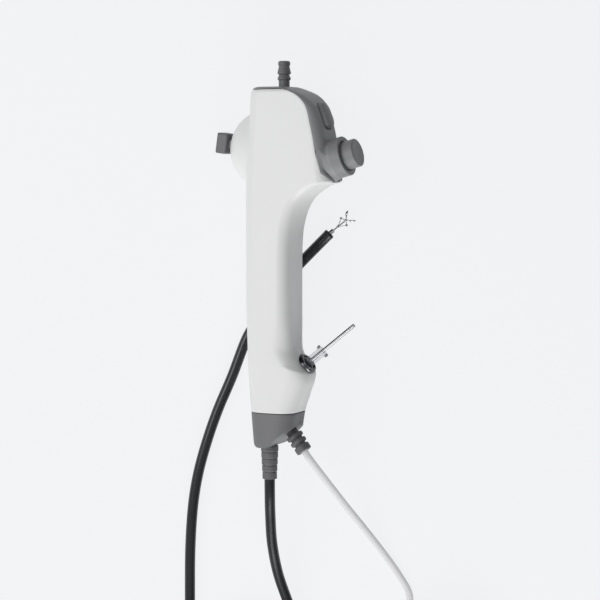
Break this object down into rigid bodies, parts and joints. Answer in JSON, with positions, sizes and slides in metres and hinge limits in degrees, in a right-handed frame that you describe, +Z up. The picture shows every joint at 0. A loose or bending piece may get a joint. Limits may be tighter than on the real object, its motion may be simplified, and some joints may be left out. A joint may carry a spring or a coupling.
{
  "type": "flexible endoscope",
  "caption": "Hand-held flexible endoscope with thumb lever, suction valve, instrument port, bending tip, biopsy forceps and a coiled video cable with a plug.",
  "frame": {"origin": "centre of the handle's box, at the height of the table it lies on", "axes": "+Z up from the table, +Y along the handle towards its head, +X towards the suction valve"},
  "size_m": [0.1819, 0.3904, 0.0473],
  "materials": {
    "white_moulding": "satin moulded",
    "grey_moulding": "fine satin",
    "grey_rubber": "matt",
    "black_sheath": "satin",
    "pale_cable": "satin",
    "steel": "bright",
    "clear_polymer": "clear",
    "circuit_board": "lacquered",
    "hose": "smooth"
  },
  "bodies": {
    "handle": {"axle_bush_far": "pale_cable", "axle_bush_near": "pale_cable", "cable_boot": "grey_rubber", "channel_branch": "pale_cable", "channel_hose": "hose", "coil_pipe_front": "steel", "coil_pipe_rear": "steel", "end_cap": "grey_moulding", "housing_far_shell": "white_moulding", "housing_near_shell": "white_moulding", "insertion_boot": "grey_rubber", "insertion_coil": "black_sheath", "insertion_gland": "steel", "insertion_lead": "black_sheath", "insertion_tube": "black_sheath", "lever_axle": "steel", "luer_port": "clear_polymer", "plug_boot": "grey_rubber", "plug_contacts": "circuit_board", "plug_shell_lower": "pale_cable", "plug_shell_upper": "pale_cable", "port_flange": "steel", "port_seal": "grey_rubber", "suction_barb": "grey_rubber", "suction_hose": "hose", "switch_board": "circuit_board", "tact_switch": "steel", "top_cover": "grey_moulding", "valve_collar": "grey_moulding", "valve_cylinder": "pale_cable", "valve_spring": "steel", "video_cable": "pale_cable", "video_cable_end": "pale_cable", "video_coil": "pale_cable", "wire_stop_block": "pale_cable"},
    "lever": {"control_lever": "grey_moulding", "wire_drum": "pale_cable"},
    "wire_front": {"pull_wire_front": "steel"},
    "wire_rear": {"pull_wire_rear": "steel"},
    "suction_valve_button": {"suction_button": "grey_moulding"},
    "remote_switch_button": {"remote_button": "grey_moulding"},
    "bend_1": {"bend_ring_1": "steel"},
    "bend_2": {"bend_ring_2": "steel"},
    "bend_3": {"bend_ring_3": "steel"},
    "bend_4": {"bend_ring_4": "steel"},
    "bend_5": {"bend_ring_5": "steel"},
    "bend_6": {"bend_ring_6": "steel"},
    "bend_7": {"bend_ring_7": "steel"},
    "tip": {"distal_tip": "black_sheath", "camera_lens": "clear_polymer", "led_window": "clear_polymer"},
    "forceps_handle_end": {"forceps_shaft": "steel"},
    "forceps_head": {"forceps_clevis": "steel", "jaw_pin": "steel"},
    "left_jaw": {"jaw_left": "steel"},
    "right_jaw": {"jaw_right": "steel"},
    "forceps_rod": {"drive_rod": "steel"},
    "left_link": {"link_left": "steel"},
    "right_link": {"link_right": "steel"}
  },
  "joints": [
    {"name": "lever_turn", "type": "hinge", "parent": "handle", "child": "lever", "pos_m": [-0.0129, 0.06761, 0.01652], "axis": [-0.4226, 0.0333, 0.9057], "range_deg": [-20, 40]},
    {"name": "front_wire_slide", "type": "slide", "parent": "handle", "child": "wire_front", "axis": [0, 0.9993, -0.0367], "range_m": [-0.0036, 0.0036]},
    {"name": "rear_wire_slide", "type": "slide", "parent": "handle", "child": "wire_rear", "axis": [0, 0.9993, -0.0367], "range_m": [-0.0036, 0.0036]},
    {"name": "suction_button_press", "type": "slide", "parent": "handle", "child": "suction_valve_button", "axis": [-0.8733, -0.282, -0.3972], "range_m": [0, 0.0035], "stiffness_N_per_m": 500, "springref_m": -0.003, "deforming": ["valve_spring"]},
    {"name": "remote_button_press", "type": "slide", "parent": "handle", "child": "remote_switch_button", "axis": [-0.8403, -0.3887, -0.3778], "range_m": [0, 0.001], "stiffness_N_per_m": 1500, "springref_m": -0.001},
    {"name": "bend_joint_1", "type": "hinge", "parent": "handle", "child": "bend_1", "pos_m": [-0.00716, -0.01326, 0.00305], "axis": [0, 0, 1], "range_deg": [-16.5, 8.5]},
    {"name": "bend_joint_2", "type": "hinge", "parent": "bend_1", "child": "bend_2", "pos_m": [-0.00411, -0.00931, 0.00305], "axis": [0, 0, 1], "range_deg": [-16.5, 8.5]},
    {"name": "bend_joint_3", "type": "hinge", "parent": "bend_2", "child": "bend_3", "pos_m": [-0.00094, -0.00543, 0.00305], "axis": [0, 0, 1], "range_deg": [-16.5, 8.5]},
    {"name": "bend_joint_4", "type": "hinge", "parent": "bend_3", "child": "bend_4", "pos_m": [0.00232, -0.00165, 0.00305], "axis": [0, 0, 1], "range_deg": [-16.5, 8.5]},
    {"name": "bend_joint_5", "type": "hinge", "parent": "bend_4", "child": "bend_5", "pos_m": [0.00568, 0.00206, 0.00305], "axis": [0, 0, 1], "range_deg": [-16.5, 8.5]},
    {"name": "bend_joint_6", "type": "hinge", "parent": "bend_5", "child": "bend_6", "pos_m": [0.00914, 0.00567, 0.00305], "axis": [0, 0, 1], "range_deg": [-16.5, 8.5]},
    {"name": "bend_joint_7", "type": "hinge", "parent": "bend_6", "child": "bend_7", "pos_m": [0.01264, 0.00923, 0.00305], "axis": [0, 0, 1], "range_deg": [-16.5, 8.5]},
    {"name": "bend_joint_8", "type": "hinge", "parent": "bend_7", "child": "tip", "pos_m": [0.01615, 0.0128, 0.00305], "axis": [0, 0, 1], "range_deg": [-16.5, 8.5]},
    {"name": "forceps_slide", "type": "slide", "parent": "handle", "child": "forceps_handle_end", "axis": [0.7093, 0.6342, 0.3077], "range_m": [-0.002, 0.005]},
    {"name": "forceps_head_slide", "type": "slide", "parent": "tip", "child": "forceps_head", "axis": [0.7771, 0.6293, 0], "range_m": [-0.0051, 0.0021]},
    {"name": "left_jaw_turn", "type": "hinge", "parent": "forceps_head", "child": "left_jaw", "pos_m": [0.03225, 0.0273, 0.00305], "axis": [0, 0, 1], "range_deg": [-38.5, 0.5]},
    {"name": "right_jaw_turn", "type": "hinge", "parent": "forceps_head", "child": "right_jaw", "pos_m": [0.03225, 0.0273, 0.00305], "axis": [0, 0, 1], "range_deg": [-0.5, 38.5]},
    {"name": "forceps_rod_slide", "type": "slide", "parent": "forceps_head", "child": "forceps_rod", "axis": [0.7771, 0.6293, 0], "range_m": [-0.00172, 0]},
    {"name": "left_link_turn", "type": "hinge", "parent": "forceps_rod", "child": "left_link", "pos_m": [0.02756, 0.0235, 0.00305], "axis": [0, 0, 1], "range_deg": [-0.5, 19.5]},
    {"name": "right_link_turn", "type": "hinge", "parent": "forceps_rod", "child": "right_link", "pos_m": [0.02756, 0.0235, 0.00305], "axis": [0, 0, 1], "range_deg": [-19.5, 0.5]}
  ],
  "couplings": [
    {"joint": "front_wire_slide", "follows": "lever_turn", "m_per_rad": 0.005},
    {"joint": "rear_wire_slide", "follows": "lever_turn", "m_per_rad": -0.005},
    {"joint": "bend_joint_1", "follows": "lever_turn", "ratio": -0.4},
    {"joint": "bend_joint_2", "follows": "lever_turn", "ratio": -0.4},
    {"joint": "bend_joint_3", "follows": "lever_turn", "ratio": -0.4},
    {"joint": "bend_joint_4", "follows": "lever_turn", "ratio": -0.4},
    {"joint": "bend_joint_5", "follows": "lever_turn", "ratio": -0.4},
    {"joint": "bend_joint_6", "follows": "lever_turn", "ratio": -0.4},
    {"joint": "bend_joint_7", "follows": "lever_turn", "ratio": -0.4},
    {"joint": "bend_joint_8", "follows": "lever_turn", "ratio": -0.4},
    {"joint": "forceps_head_slide", "follows": "forceps_slide", "ratio": -1},
    {"joint": "left_jaw_turn", "follows": "forceps_rod_slide", "rad_per_m": 384.6},
    {"joint": "right_jaw_turn", "follows": "forceps_rod_slide", "rad_per_m": -384.6},
    {"joint": "left_link_turn", "follows": "forceps_rod_slide", "rad_per_m": -192.3},
    {"joint": "right_link_turn", "follows": "forceps_rod_slide", "rad_per_m": 192.3}
  ]
}
